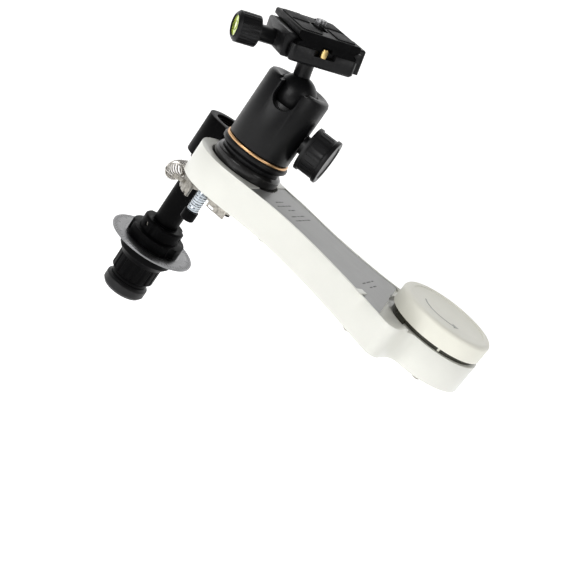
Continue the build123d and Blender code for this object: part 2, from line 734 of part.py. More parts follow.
with BuildPart() as clamp_base:
    with BuildSketch(top(0.25, 0, 24.0)):
        RectangleRounded(40.5 + 0.0, 46.0, 3.0)
    extrude(amount=9.3)
    chamfer(clamp_base.edges().group_by(Axis(BALL_O, N))[0], 1.2)
    # left end stepped down for the moving jaw
    with BuildSketch(top(-19.6, 0, 23.0)):
        Rectangle(9.2, 38.0)
    extrude(amount=12, mode=Mode.SUBTRACT)
    # fixed jaw with a nose that enters the dovetail groove
    with BuildSketch(across(23.0)):
        with BuildLine():
            Polyline(*[(x, -z) for x, z in ((18.5, 33.0), (18.5, 34.95), (16.2, 36.6), (18.9, 38.1), (20.5, 38.1), (20.5, 33.0))], close=True)
        make_face()
    extrude(amount=46.0)
    # pin recess in the front edge and screw bore
    with BuildSketch(top(0.0, 21.2, 30.0)):
        Rectangle(13.0, 6.0)
    extrude(amount=5, mode=Mode.SUBTRACT)
    with BuildSketch(top(0.0, 20.6, 25.6)):
        Circle(2.36)
    extrude(amount=5, mode=Mode.SUBTRACT)
    with BuildSketch(top_u(-26, 0, 29.6)):
        Circle(2.56)
    extrude(amount=22, mode=Mode.SUBTRACT)
    with BuildSketch(top(0, 0, 23)):
        Circle(2.06)
    extrude(amount=12, mode=Mode.SUBTRACT)
    with BuildSketch(top(0, 0, 31.4)):
        Circle(4.4)
    extrude(amount=4, mode=Mode.SUBTRACT)
    # guide pin bores
    with BuildSketch(top_u(-26, 0, 27.4)):
        with Locations((0, -14), (0, 14)):
            Circle(1.55)
    extrude(amount=24, mode=Mode.SUBTRACT)
save(clamp_base, "clamp_base")

with BuildPart() as level_lug:
    with BuildSketch(top(24.25, 1.0, 24.6)):
        RectangleRounded(7.4, 22.0, 1.6)
    extrude(amount=14.4)
    chamfer(level_lug.edges().group_by(Axis(BALL_O, N))[-1], 0.8)
save(level_lug, "level_lug")

with BuildPart() as clamp_bolt:
    with BuildSketch(top(0, 0, 31.5)):
        Circle(4.1)
    extrude(amount=1.7)
    with BuildSketch(top(0, 0, 14.2)):
        Circle(1.98)
    extrude(amount=17.4)
    with BuildSketch(top(0, 0, 32.2)):
        RegularPolygon(2.0, 6)
    extrude(amount=2, mode=Mode.SUBTRACT)
save(clamp_bolt, "clamp_bolt")

with BuildPart() as moving_jaw:
    with BuildSketch(across(18.5)):
        with BuildLine():
            Polyline(*[(x, -z) for x, z in ((-23.2, 24.4), (-16.0, 24.4), (-16.0, 33.1), (-18.5, 33.1), (-18.5, 34.95), (-16.2, 36.6), (-18.9, 38.1),
                                            (-23.0, 38.1), (-24.0, 37.1), (-24.0, 25.2))], close=True)
        make_face()
    extrude(amount=37.0)
    # groove on the end face
    with BuildSketch(across(18.6)):
        with Locations(Location((-20.1, -29.5, 0), 90)):
            SlotOverall(6.4, 2.2)
    extrude(amount=1.0, mode=Mode.SUBTRACT)
    with BuildSketch(top_u(-26, 0, 29.6)):
        Circle(2.56)
    extrude(amount=12, mode=Mode.SUBTRACT)
    with BuildSketch(top_u(-17.5, 0, 27.4)):
        with Locations((0, -14), (0, 14)):
            Circle(1.5)
    extrude(amount=14)
save(moving_jaw, "moving_jaw")

with BuildPart() as clamp_knob:
    with BuildSketch(top_u(-34.6, 0, 29.6)):
        Circle(4.8)
    extrude(amount=10.2)
    with BuildSketch(top_u(-47.6, 0, 29.6)):
        Circle(8.9)
    extrude(amount=13.0)
    chamfer(clamp_knob.edges().filter_by(GeomType.CIRCLE).sort_by(Axis(BALL_O, U))[0:1], 1.4)
    with BuildSketch(top_u(-45.6, 0, 29.6)):
        with PolarLocations(9.25, 26):
            Rectangle(1.3, 1.1)
    extrude(amount=10.0, mode=Mode.SUBTRACT)
    with BuildSketch(top_u(-47.7, 0, 29.6)):
        Circle(5.7)
    extrude(amount=4.4, mode=Mode.SUBTRACT)
    with BuildSketch(top_u(-40.0, 0, 29.6)):
        Circle(2.5)
    extrude(amount=20, mode=Mode.SUBTRACT)
save(clamp_knob, "clamp_knob")

with BuildPart() as clamp_screw:
    with BuildSketch(top_u(-40.0, 0, 29.6)):
        Circle(2.5)
    extrude(amount=35.4)
save(clamp_screw, "clamp_screw")

with BuildPart() as level_vial:
    with BuildSketch(top_u(-47.3, 0, 29.6)):
        Circle(5.7)
    extrude(amount=4.0)
save(level_vial, "level_vial")

# ---- quick release plate ------------------------------------------------------------------------
PL0, PL1 = 33.6, 42.0
with BuildPart() as release_plate:
    prof_pl = [(-18.1, PL1), (18.1, PL1), (18.9, PL1 - 0.8), (18.9, 38.6), (15.6, 36.6), (18.2, 34.6), (18.2, PL0),
               (-18.2, PL0), (-18.2, 34.6), (-15.6, 36.6), (-18.9, 38.6), (-18.9, PL1 - 0.8)]
    with BuildSketch(across(23.4)):
        with BuildLine():
            Polyline(*[(x, -z) for x, z in prof_pl], close=True)
        make_face()
    extrude(amount=50.0)
    with BuildSketch(top(0, -1.6, 40.6)):
        RectangleRounded(33.0, 45.0, 3.0)
        with BuildSketch(mode=Mode.PRIVATE) as _bar:
            Rectangle(10.0, 50.0)
        add(_bar.sketch, mode=Mode.SUBTRACT)
    extrude(amount=3, mode=Mode.SUBTRACT)
    with BuildSketch(top(0, 0, PL0 - 1)):
        with Locations(Location((0, 0, 0), 90)):
            SlotOverall(20.0, 6.9)
    extrude(amount=12, mode=Mode.SUBTRACT)
    with BuildSketch(top(0, 0, PL0 - 1)):
        with Locations(Location((0, 0, 0), 90)):
            SlotOverall(27.0, 13.4)
    extrude(amount=4.6, mode=Mode.SUBTRACT)
    with BuildSketch(top(0, 21.0, PL0 - 1)):
        Rectangle(6.0, 15.0)
    extrude(amount=3.4, mode=Mode.SUBTRACT)
save(release_plate, "release_plate")

with BuildPart() as grip_pads:
    with BuildSketch(top(0, -1.6, 40.6)):
        RectangleRounded(33.0, 45.0, 3.0)
        with BuildSketch(mode=Mode.PRIVATE) as _bar2:
            Rectangle(10.0, 50.0)
        add(_bar2.sketch, mode=Mode.SUBTRACT)
    extrude(amount=2.0)
    with BuildSketch(top(0, -1.6, 42.0)):
        with Locations((-10.5, 0), (10.5, 0)):
            SlotOverall(12, 7)
    extrude(amount=2, mode=Mode.SUBTRACT)
save(grip_pads, "grip_pads")

with BuildPart() as camera_screw:
    with BuildSketch(top(0, 0, 33.8)):
        Circle(6.2)
    extrude(amount=3.0)
    with BuildSketch(top(0, 0, 36.8)):
        Circle(2.7)
    extrude(amount=5.8)
    with BuildSketch(top(0, 0, 42.6)):
        Circle(3.175)
    extrude(amount=4.1)
save(camera_screw, "camera_screw")

with BuildPart() as safety_pin:
    with BuildSketch(top(0, 20.6, 29.5)):
        Circle(2.3)
    extrude(amount=5.7)
    fillet(safety_pin.edges().filter_by(GeomType.CIRCLE), 0.5)
save(safety_pin, "safety_pin")

# ---- finder bracket -----------------------------------------------------------------------------
with BuildPart() as finder_bracket:
    with BuildSketch(at(0, 0, -19.4)):
        with Locations((FIND_X, FIND_Y)):
            Circle(15.4)
        with BuildLine():
            Polyline(pol(20, 126), pol(46, 122), pol(50, 141.3), pol(46, 160.6), pol(20, 156.6), close=True)
        make_face()
        Circle(R_END + 0.05, mode=Mode.SUBTRACT)
        with Locations((FIND_X, FIND_Y)):
            Circle(R_FIND + 0.05, mode=Mode.SUBTRACT)
    extrude(amount=27.6)
    with BuildSketch(at(0, 0, -23.2)):
        with Locations((FIND_X, FIND_Y)):
            Circle(10.8)
            Circle(R_FIND + 0.05, mode=Mode.SUBTRACT)
    extrude(amount=4.0)
    # clamp screw bore
    with BuildSketch(side(FIND_X, FIND_Y, -5.0, 60)):
        Circle(1.85)
    extrude(amount=30, mode=Mode.SUBTRACT)
    # screw bores towards the arm
    with BuildSketch(side(*pol(R_END - 2.0, 141.3), -8.0, 141.3)):
        with Locations((0, -6.0), (0, 6.0)):
            Circle(1.35)
    extrude(amount=9.0, mode=Mode.SUBTRACT)
    with BuildSketch(at(FIND_X, FIND_Y, 6.4)):
        Circle(10.6)
    extrude(amount=4, mode=Mode.SUBTRACT)
save(finder_bracket, "finder_bracket")

with BuildPart() as bracket_screws:
    with BuildSketch(side(*pol(R_END - 3.6, 141.3), -8.0, 141.3)):
        with Locations((0, -6.0), (0, 6.0)):
            Circle(1.25)
    extrude(amount=9.6)
save(bracket_screws, "bracket_screws")

with BuildPart() as finder_clamp_screw:
    cx, cy = pol(R_FIND + 0.4, 60, FIND_X, FIND_Y)
    with BuildSketch(side(cx, cy, -5.0, 60)):
        Circle(1.8)
    extrude(amount=9.0)
    cx, cy = pol(17.2, 60, FIND_X, FIND_Y)
    with BuildSketch(side(cx, cy, -5.0, 60)):
        Circle(5.0)
    extrude(amount=6.0)
    with BuildSketch(side(cx, cy, -5.0, 60)):
        with PolarLocations(5.2, 18):
            Circle(0.45)
    extrude(amount=6.0, mode=Mode.SUBTRACT)
save(finder_clamp_screw, "finder_clamp_screw")

# ---- polar finder -------------------------------------------------------------------------------
ax_f = Axis((ROTOR_X + FIND_X, ROTOR_Y + FIND_Y, 0), (0, 0, 1))
fv = Plane(origin=(ROTOR_X + FIND_X, ROTOR_Y + FIND_Y, TOP_Z), x_dir=(1, 0, 0), z_dir=(0, -1, 0))
with BuildPart() as finder_tube:
    with BuildSketch(at(FIND_X, FIND_Y, -100.0)):
        Circle(R_FIND)
        Circle(R_FIND - 1.2, mode=Mode.SUBTRACT)
    extrude(amount=105.4)
save(finder_tube, "finder_tube")

with BuildPart() as objective_lens:
    with BuildSketch(at(FIND_X, FIND_Y, 2.0)):
        Circle(R_FIND - 1.2)
    extrude(amount=2.2)
save(objective_lens, "objective_lens")

with BuildPart() as reticle_glass:
    with BuildSketch(at(FIND_X, FIND_Y, -92.0)):
        Circle(R_FIND - 1.2)
    extrude(amount=1.2)
save(reticle_glass, "reticle_glass")

with BuildPart() as finder_collar:
    with BuildSketch(at(FIND_X, FIND_Y, -86.8)):
        Circle(19.2)
        with PolarLocations(22.6, 3, start_angle=100):
            Circle(5.0, mode=Mode.SUBTRACT)
    extrude(amount=7.2)
    with BuildSketch(at(FIND_X, FIND_Y, -79.6)):
        Circle(14.4)
        with PolarLocations(17.6, 3, start_angle=40):
            Circle(4.6, mode=Mode.SUBTRACT)
    extrude(amount=8.6)
    chamfer(finder_collar.edges().group_by(Axis.Z)[-1], 1.0)
    with BuildSketch(at(FIND_X, FIND_Y, -90)):
        Circle(R_FIND)
    extrude(amount=30, mode=Mode.SUBTRACT)
    with BuildSketch(side(FIND_X, FIND_Y, -75.0, -110)):
        Circle(1.5)
    extrude(amount=20, mode=Mode.SUBTRACT)
    with BuildSketch(side(FIND_X, FIND_Y, -75.0, 10)):
        Circle(1.5)
    extrude(amount=20, mode=Mode.SUBTRACT)
    with BuildSketch(side(FIND_X, FIND_Y, -75.0, 130)):
        Circle(1.5)
    extrude(amount=20, mode=Mode.SUBTRACT)
save(finder_collar, "finder_collar")

with BuildPart() as collar_screws:
    for az_ in (-110, 10, 130):
        cx, cy = pol(R_FIND + 0.02, az_, FIND_X, FIND_Y)
        with BuildSketch(side(cx, cy, -75.0, az_)):
            Circle(1.45)
            RegularPolygon(0.7, 6, mode=Mode.SUBTRACT)
        extrude(amount=4.6)
save(collar_screws, "collar_screws")

with BuildPart() as date_disc:
    with BuildSketch(at(FIND_X, FIND_Y, -88.3)):
        Circle(29.8)
        Circle(R_FIND + 0.25, mode=Mode.SUBTRACT)
    extrude(amount=1.2)
save(date_disc, "date_disc")

with BuildPart() as eyepiece_body:
    with BuildSketch(fv):
        with BuildLine():
            Polyline((R_FIND, -88.8), (17.2, -88.8), (19.0, -89.6), (19.0, -96.6), (16.6, -99.4), (15.2, -101.2), (15.2, -113.0), (12.9, -115.4), (12.9, -117.8),
                     (R_FIND, -117.8), close=True)
        make_face()
    revolve(axis=ax_f)
    with BuildSketch(at(FIND_X, FIND_Y, -112.4)):
        with PolarLocations(15.9, 18):
            Circle(1.3)
    extrude(amount=10.8, mode=Mode.SUBTRACT)
save(eyepiece_body, "eyepiece_body")

with BuildPart() as focus_ring:
    with BuildSketch(fv):
        with BuildLine():
            Polyline((R_FIND - 1.0, -118.1), (13.0, -118.1), (15.0, -119.6), (15.0, -124.6), (13.6, -126.6), (10.6, -126.6), (8.0, -124.4), (R_FIND - 1.0, -124.4), close=True)
        make_face()
    revolve(axis=ax_f)
save(focus_ring, "focus_ring")

with BuildPart() as eye_lens:
    with BuildSketch(at(FIND_X, FIND_Y, -122.4)):
        Circle(R_FIND - 1.0)
    extrude(amount=2.6)
save(eye_lens, "eye_lens")
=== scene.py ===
import json
import math
import os
import random
import bpy
import bmesh
from mathutils import Matrix, Vector, noise


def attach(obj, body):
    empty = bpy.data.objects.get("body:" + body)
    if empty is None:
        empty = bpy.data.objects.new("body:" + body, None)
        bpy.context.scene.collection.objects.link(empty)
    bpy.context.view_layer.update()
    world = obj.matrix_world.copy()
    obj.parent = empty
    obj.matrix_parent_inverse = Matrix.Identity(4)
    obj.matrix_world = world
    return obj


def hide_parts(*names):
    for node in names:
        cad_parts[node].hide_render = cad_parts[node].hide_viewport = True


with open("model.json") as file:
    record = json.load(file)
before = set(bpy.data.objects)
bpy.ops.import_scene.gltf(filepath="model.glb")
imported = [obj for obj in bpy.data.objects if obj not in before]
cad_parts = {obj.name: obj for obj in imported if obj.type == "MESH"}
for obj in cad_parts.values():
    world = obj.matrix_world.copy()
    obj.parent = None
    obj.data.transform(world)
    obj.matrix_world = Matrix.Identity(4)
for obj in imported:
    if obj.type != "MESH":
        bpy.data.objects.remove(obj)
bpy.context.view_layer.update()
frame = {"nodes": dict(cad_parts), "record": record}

random.seed(7)
MM = 0.001
RX, RY, TZ = -70.0, 6.0, 19.8                      # rotor axis in the row frame, mm
NODES = frame["nodes"]


def V(x, y, z):
    """A point given from the rotor axis and the arm's rim, in mm, as metres in the row frame."""
    return Vector(((x + RX) * MM, (y + RY) * MM, (z + TZ) * MM))


U = Vector((0.666, 0.703, 0.245)).normalized()
N = Vector((-0.204, -0.142, 0.967))
N = (N - U * N.dot(U)).normalized()
W = U.cross(N)
BALL = V(0, 0, 52)


def T(a, b, c):
    """A point on the camera platform: a along the jaw screw, b to the front, c above the ball."""
    return BALL + (U * a + W * b + N * c) * MM


# ---------------------------------------------------------------- materials
def new_mat(name):
    m = bpy.data.materials.new(name)
    m.use_nodes = True
    nt = m.node_tree
    nt.nodes.clear()
    out = nt.nodes.new("ShaderNodeOutputMaterial")
    b = nt.nodes.new("ShaderNodeBsdfPrincipled")
    nt.links.new(b.outputs["BSDF"], out.inputs["Surface"])
    return m, nt, b


def noise_tex(nt, coord, scale, detail=4.0, rough=0.55, stretch=None):
    n = nt.nodes.new("ShaderNodeTexNoise")
    n.inputs["Scale"].default_value = scale
    n.inputs["Detail"].default_value = detail
    n.inputs["Roughness"].default_value = rough
    src = coord
    if stretch:
        mp = nt.nodes.new("ShaderNodeMapping")
        mp.inputs["Scale"].default_value = stretch
        nt.links.new(coord, mp.inputs["Vector"])
        src = mp.outputs["Vector"]
    nt.links.new(src, n.inputs["Vector"])
    return n.outputs["Fac"]


def ramp(nt, fac, stops):
    r = nt.nodes.new("ShaderNodeValToRGB")
    el = r.color_ramp.elements
    while len(el) > 1:
        el.remove(el[-1])
    el[0].position, el[0].color = stops[0][0], (*stops[0][1], 1)
    for p, c in stops[1:]:
        e = el.new(p)
        e.color = (*c, 1)
    nt.links.new(fac, r.inputs["Fac"])
    return r.outputs["Color"]


def mixc(nt, fac, a, b, mode="MIX"):
    n = nt.nodes.new("ShaderNodeMix")
    n.data_type = "RGBA"
    n.blend_type = mode
    if isinstance(fac, float):
        n.inputs["Factor"].default_value = fac
    else:
        nt.links.new(fac, n.inputs["Factor"])
    for sock, v in (("A", a), ("B", b)):
        s = [i for i in n.inputs if i.name == sock and i.type == "RGBA"][0]
        if isinstance(v, tuple):
            s.default_value = (*v, 1)
        else:
            nt.links.new(v, s)
    return [o for o in n.outputs if o.type == "RGBA"][0]


def maprange(nt, fac, lo, hi, a=0.0, b=1.0):
    n = nt.nodes.new("ShaderNodeMapRange")
    n.inputs["From Min"].default_value = a
    n.inputs["From Max"].default_value = b
    n.inputs["To Min"].default_value = lo
    n.inputs["To Max"].default_value = hi
    nt.links.new(fac, n.inputs["Value"])
    return n.outputs["Result"]


def bump(nt, height, strength, dist, prev=None):
    n = nt.nodes.new("ShaderNodeBump")
    n.inputs["Strength"].default_value = strength
    n.inputs["Distance"].default_value = dist
    nt.links.new(height, n.inputs["Height"])
    if prev is not None:
        nt.links.new(prev, n.inputs["Normal"])
    return n.outputs["Normal"]


def surface(name, base, vary=0.08, rough=0.4, rough_var=0.1, metal=0.0, grain=1800.0, grain_bump=0.15, grain_dist=0.00004, wear=None, streak=None,
            coat=0.0, spec=0.5, mottling=60.0, dirt=0.0):
    """Paint, anodised or turned finishes: broad mottling, fine grain, streaks and worn edges."""
    m, nt, b = new_mat(name)
    tc = nt.nodes.new("ShaderNodeTexCoord")
    co = tc.outputs["Object"]
    big = noise_tex(nt, co, mottling, 5.0, 0.6)
    dark = tuple(max(0.0, c * (1 - vary)) for c in base)
    lite = tuple(min(1.0, c * (1 + vary)) for c in base)
    col = ramp(nt, big, [(0.3, dark), (0.7, lite)])
    fine = noise_tex(nt, co, grain, 3.0, 0.6)
    col = mixc(nt, maprange(nt, fine, 0.0, 0.35, 0.35, 0.75), col, tuple(min(1.0, c * (1 + vary * 2.2) + 0.0008) for c in base))
    rsrc = noise_tex(nt, co, mottling * 5.0, 6.0, 0.65)
    normal = bump(nt, fine, grain_bump, grain_dist)
    if streak:
        st = noise_tex(nt, co, 1.0, 3.0, 0.6, streak)
        normal = bump(nt, st, 0.25, 0.00003, normal)
        rsrc = st
        col = mixc(nt, maprange(nt, st, 0.0, 0.5, 0.3, 0.8), col, tuple(min(1.0, c * 1.18 + 0.01) for c in base))
    if dirt:
        ao = noise_tex(nt, co, mottling * 0.7, 8.0, 0.7)
        col = mixc(nt, maprange(nt, ao, 0.0, dirt, 0.55, 0.8), col, tuple(c * 0.72 for c in base))
    if wear:
        geo = nt.nodes.new("ShaderNodeNewGeometry")
        edge = maprange(nt, geo.outputs["Pointiness"], 0.0, 1.0, 0.535, 0.62)
        br = noise_tex(nt, co, 420.0, 6.0, 0.7)
        mul = nt.nodes.new("ShaderNodeMath")
        mul.operation = "MULTIPLY"
        nt.links.new(edge, mul.inputs[0])
        nt.links.new(maprange(nt, br, 0.0, 0.5, 0.5, 0.72), mul.inputs[1])
        col = mixc(nt, mul.outputs[0], col, wear)
    nt.links.new(col, b.inputs["Base Color"])
    nt.links.new(maprange(nt, rsrc, max(0.03, rough - rough_var), rough + rough_var, 0.3, 0.7), b.inputs["Roughness"])
    b.inputs["Metallic"].default_value = metal
    b.inputs["Specular IOR Level"].default_value = spec
    b.inputs["Coat Weight"].default_value = coat
    b.inputs["Coat Roughness"].default_value = 0.12
    nt.links.new(normal, b.inputs["Normal"])
    return m


def ribbed(name, base, axis, pitch, rough=0.6, depth=0.0003):
    """Rubber with fine moulded ribs along one direction."""
    m, nt, b = new_mat(name)
    tc = nt.nodes.new("ShaderNodeTexCoord")
    co = tc.outputs["Object"]
    dot = nt.nodes.new("ShaderNodeVectorMath")
    dot.operation = "DOT_PRODUCT"
    dot.inputs[1].default_value = axis
    nt.links.new(co, dot.inputs[0])
    mul = nt.nodes.new("ShaderNodeMath")
    mul.operation = "MULTIPLY"
    mul.inputs[1].default_value = 2 * math.pi / pitch
    nt.links.new(dot.outputs["Value"], mul.inputs[0])
    sn = nt.nodes.new("ShaderNodeMath")
    sn.operation = "SINE"
    nt.links.new(mul.outputs[0], sn.inputs[0])
    fine = noise_tex(nt, co, 2600.0, 3.0, 0.7)
    nrm = bump(nt, sn.outputs[0], 0.5, depth)
    nrm = bump(nt, fine, 0.3, 0.00004, nrm)
    big = noise_tex(nt, co, 120.0, 6.0, 0.65)
    col = ramp(nt, big, [(0.3, tuple(c * 0.8 for c in base)), (0.7, tuple(c * 1.5 + 0.001 for c in base))])
    nt.links.new(col, b.inputs["Base Color"])
    nt.links.new(maprange(nt, big, rough - 0.1, rough + 0.12, 0.3, 0.7), b.inputs["Roughness"])
    nt.links.new(nrm, b.inputs["Normal"])
    b.inputs["Specular IOR Level"].default_value = 0.12
    return m


def glass(name, tint):
    m, nt, b = new_mat(name)
    tc = nt.nodes.new("ShaderNodeTexCoord")
    n = noise_tex(nt, tc.outputs["Object"], 90.0, 5.0, 0.6)
    col = ramp(nt, n, [(0.3, tuple(c * 0.82 for c in tint)), (0.7, tint)])
    nt.links.new(col, b.inputs["Base Color"])
    nt.links.new(maprange(nt, n, 0.02, 0.08, 0.3, 0.7), b.inputs["Roughness"])
    b.inputs["Transmission Weight"].default_value = 0.7
    b.inputs["Coat Weight"].default_value = 1.0
    b.inputs["Coat Tint"].default_value = (0.6, 0.8, 0.65, 1)
    return m


def turned(name, base, cx, cy, pitch_m=0.00035, rough=0.25, vary=0.1):
    """Lathe-turned metal: fine rings about a vertical axis, with a radial brushed sheen."""
    m, nt, b = new_mat(name)
    tc = nt.nodes.new("ShaderNodeTexCoord")
    co = tc.outputs["Object"]
    sub = nt.nodes.new("ShaderNodeVectorMath")
    sub.operation = "SUBTRACT"
    sub.inputs[1].default_value = (cx, cy, 0)
    nt.links.new(co, sub.inputs[0])
    sep = nt.nodes.new("ShaderNodeSeparateXYZ")
    nt.links.new(sub.outputs[0], sep.inputs[0])
    comb = nt.nodes.new("ShaderNodeCombineXYZ")
    nt.links.new(sep.outputs["X"], comb.inputs["X"])
    nt.links.new(sep.outputs["Y"], comb.inputs["Y"])
    ln = nt.nodes.new("ShaderNodeVectorMath")
    ln.operation = "LENGTH"
    nt.links.new(comb.outputs[0], ln.inputs[0])
    rv = nt.nodes.new("ShaderNodeCombineXYZ")
    nt.links.new(ln.outputs["Value"], rv.inputs["X"])
    nt.links.new(sep.outputs["Z"], rv.inputs["Z"])
    rings = noise_tex(nt, rv.outputs[0], 1.0 / pitch_m, 2.0, 0.5)
    big = noise_tex(nt, co, 70.0, 5.0, 0.6)
    col = ramp(nt, big, [(0.3, tuple(c * (1 - vary) for c in base)), (0.7, tuple(min(1, c * (1 + vary)) for c in base))])
    col = mixc(nt, maprange(nt, rings, 0.0, 0.4, 0.35, 0.7), col, tuple(c * 0.75 for c in base))
    nt.links.new(col, b.inputs["Base Color"])
    nt.links.new(maprange(nt, rings, rough * 0.7, rough * 1.4, 0.3, 0.7), b.inputs["Roughness"])
    nt.links.new(bump(nt, rings, 0.3, 0.00003), b.inputs["Normal"])
    b.inputs["Metallic"].default_value = 1.0
    return m


M = {}
M["white_paint"] = surface("cream_enamel", (0.755, 0.755, 0.70), vary=0.015, rough=0.36, rough_var=0.07, grain=900.0, grain_bump=0.12, grain_dist=0.00006, coat=0.25, dirt=0.05)
M["cap_white"] = surface("cream_plastic", (0.80, 0.79, 0.70), vary=0.02, rough=0.42, rough_var=0.08, grain=1400.0, grain_bump=0.2, grain_dist=0.00006, dirt=0.05)
M["label_grey"] = surface("printed_sheet", (0.255, 0.255, 0.25), vary=0.05, rough=0.42, rough_var=0.1, metal=0.35, grain=2200.0, streak=(60, 2600, 60), coat=0.15)
M["can_dark"] = surface("dark_bronze_enamel", (0.030, 0.029, 0.020), vary=0.2, rough=0.3, rough_var=0.08, grain=1600.0)
M["steel"] = surface("machined_steel", (0.52, 0.52, 0.51), vary=0.1, rough=0.28, rough_var=0.1, metal=1.0, streak=(900, 900, 40))
M["zinc_steel"] = surface("zinc_plated_steel", (0.29, 0.275, 0.245), vary=0.5, rough=0.33, rough_var=0.14, metal=1.0, grain=1100.0, grain_bump=0.5, mottling=420.0, dirt=0.5)
M["black_anodised"] = surface("black_anodised", (0.0052, 0.0052, 0.0056), vary=0.25, rough=0.34, rough_var=0.07, metal=0.0, grain=3200.0, grain_bump=0.28, grain_dist=0.00003,
                              wear=(0.05, 0.05, 0.052), spec=0.2)
M["black_gloss"] = surface("black_polished", (0.005, 0.0048, 0.0046), vary=0.25, rough=0.17, rough_var=0.06, grain=2400.0, grain_bump=0.15, wear=(0.07, 0.07, 0.07), coat=0.12, spec=0.35, streak=(40, 40, 1400))
M["gold_anodised"] = turned("gold_anodised", (0.70, 0.43, 0.22), (RX) * MM, (RY) * MM, rough=0.28)
M["silver"] = turned("clear_anodised", (0.24, 0.24, 0.245), (RX - 35.5) * MM, (RY + 28.4) * MM, rough=0.30)
M["brass"] = surface("turned_brass", (0.72, 0.53, 0.22), vary=0.12, rough=0.25, rough_var=0.1, metal=1.0, streak=(900, 900, 60))
M["black_plastic"] = surface("black_plastic", (0.008, 0.008, 0.0085), vary=0.2, rough=0.45, rough_var=0.08, grain=2000.0, grain_bump=0.3)
M["rubber_black"] = ribbed("black_rubber", (0.006, 0.006, 0.0065), tuple(U), 0.0016, depth=0.00018)
M["knob_rubber"] = surface("knob_rubber", (0.0055, 0.0055, 0.006), vary=0.25, rough=0.42, rough_var=0.1, grain=2400.0, grain_bump=0.4, grain_dist=0.00005, spec=0.3, wear=(0.05, 0.05, 0.05))
M["glass_clear"] = glass("coated_glass", (0.55, 0.72, 0.62))
M["vial_green"] = surface("vial_liquid", (0.50, 0.62, 0.06), vary=0.18, rough=0.12, rough_var=0.05, grain=600.0, grain_bump=0.03, coat=1.0)
M["spring_steel"] = surface("spring_steel", (0.50, 0.48, 0.45), vary=0.25, rough=0.26, rough_var=0.08, metal=1.0, mottling=300.0)
M["ink"] = surface("grey_print", (0.03, 0.03, 0.03), vary=0.3, rough=0.5, rough_var=0.1, grain=3000.0)
M["soft_ink"] = surface("soft_print", (0.42, 0.42, 0.39), vary=0.1, rough=0.5, rough_var=0.1, grain=3000.0)
M["bubble"] = surface("vial_bubble", (0.86, 0.90, 0.45), vary=0.1, rough=0.08, rough_var=0.03, grain=500.0, grain_bump=0.02, coat=1.0)

SLOT = {s["node"]: s["material_slot"] for s in frame["record"]["subparts"]}
M["stud_zinc"] = surface("blue_zinc", (0.50, 0.54, 0.58), vary=0.12, rough=0.25, rough_var=0.08, metal=1.0)
# darker copy of the black finish for the finder and lower black parts: its lower base colour is painted shade standing
# in for the dim light these parts get, and its specular is cut as well
M["finder_black_painted_shade"] = surface("finder_black_painted_shade", (0.0016, 0.0016, 0.0018), vary=0.25, rough=0.38, rough_var=0.08, grain=3000.0, grain_bump=0.2, grain_dist=0.00002, wear=(0.02, 0.02, 0.02), spec=0.04)
SPECIAL = {"lock_knob": "knob_rubber", "focus_ring": "knob_rubber", "finder_tube": "finder_black_painted_shade", "finder_collar": "finder_black_painted_shade", "eyepiece_body": "finder_black_painted_shade",
           "finder_bracket": "finder_black_painted_shade", "anchor_stud": "stud_zinc", "stud_cap": "finder_black_painted_shade", "release_plate": "finder_black_painted_shade", "grip_pads": "rubber_black"}
for name, ob in NODES.items():
    ob.data.materials.clear()
    ob.data.materials.append(M[SPECIAL.get(name, SLOT[name])])
    w = ob.modifiers.new("weld", "WELD")
    w.merge_threshold = 2e-6
    if name not in ("mainspring", "label_plate", "drive_pinion", "spindle_gear", "sector_arm"):
        bv = ob.modifiers.new("edge", "BEVEL")
        bv.width = 0.00022
        bv.segments = 2
        bv.limit_method = "ANGLE"
        bv.angle_limit = math.radians(38)
        bv.use_clamp_overlap = True
        bv.harden_normals = False

# smooth shading with sharp edges kept, through one shared geometry node group
GN = bpy.data.node_groups.new("smooth_by_angle", "GeometryNodeTree")
GN.interface.new_socket("Geometry", in_out="INPUT", socket_type="NodeSocketGeometry")
GN.interface.new_socket("Geometry", in_out="OUTPUT", socket_type="NodeSocketGeometry")
gi, go = GN.nodes.new("NodeGroupInput"), GN.nodes.new("NodeGroupOutput")
ea = GN.nodes.new("GeometryNodeInputMeshEdgeAngle")
cmp_ = GN.nodes.new("FunctionNodeCompare")
cmp_.data_type = "FLOAT"
cmp_.operation = "LESS_EQUAL"
cmp_.inputs[1].default_value = math.radians(33)
sse = GN.nodes.new("GeometryNodeSetShadeSmooth")
sse.domain = "EDGE"
ssf = GN.nodes.new("GeometryNodeSetShadeSmooth")
ssf.domain = "FACE"
GN.links.new(ea.outputs["Unsigned Angle"], cmp_.inputs[0])
GN.links.new(gi.outputs[0], ssf.inputs["Geometry"])
GN.links.new(ssf.outputs["Geometry"], sse.inputs["Geometry"])
GN.links.new(cmp_.outputs[0], sse.inputs["Shade Smooth"])
GN.links.new(sse.outputs["Geometry"], go.inputs[0])


def smooth(ob):
    md = ob.modifiers.new("smooth", "NODES")
    md.node_group = GN


for ob in NODES.values():
    smooth(ob)


# ---------------------------------------------------------------- mesh helpers
def mesh_object(name, bm, mat, body):
    me = bpy.data.meshes.new(name)
    bm.to_mesh(me)
    bm.free()
    ob = bpy.data.objects.new(name, me)
    bpy.context.scene.collection.objects.link(ob)
    me.materials.append(M[mat])
    smooth(ob)
    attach(ob, body)
    return ob


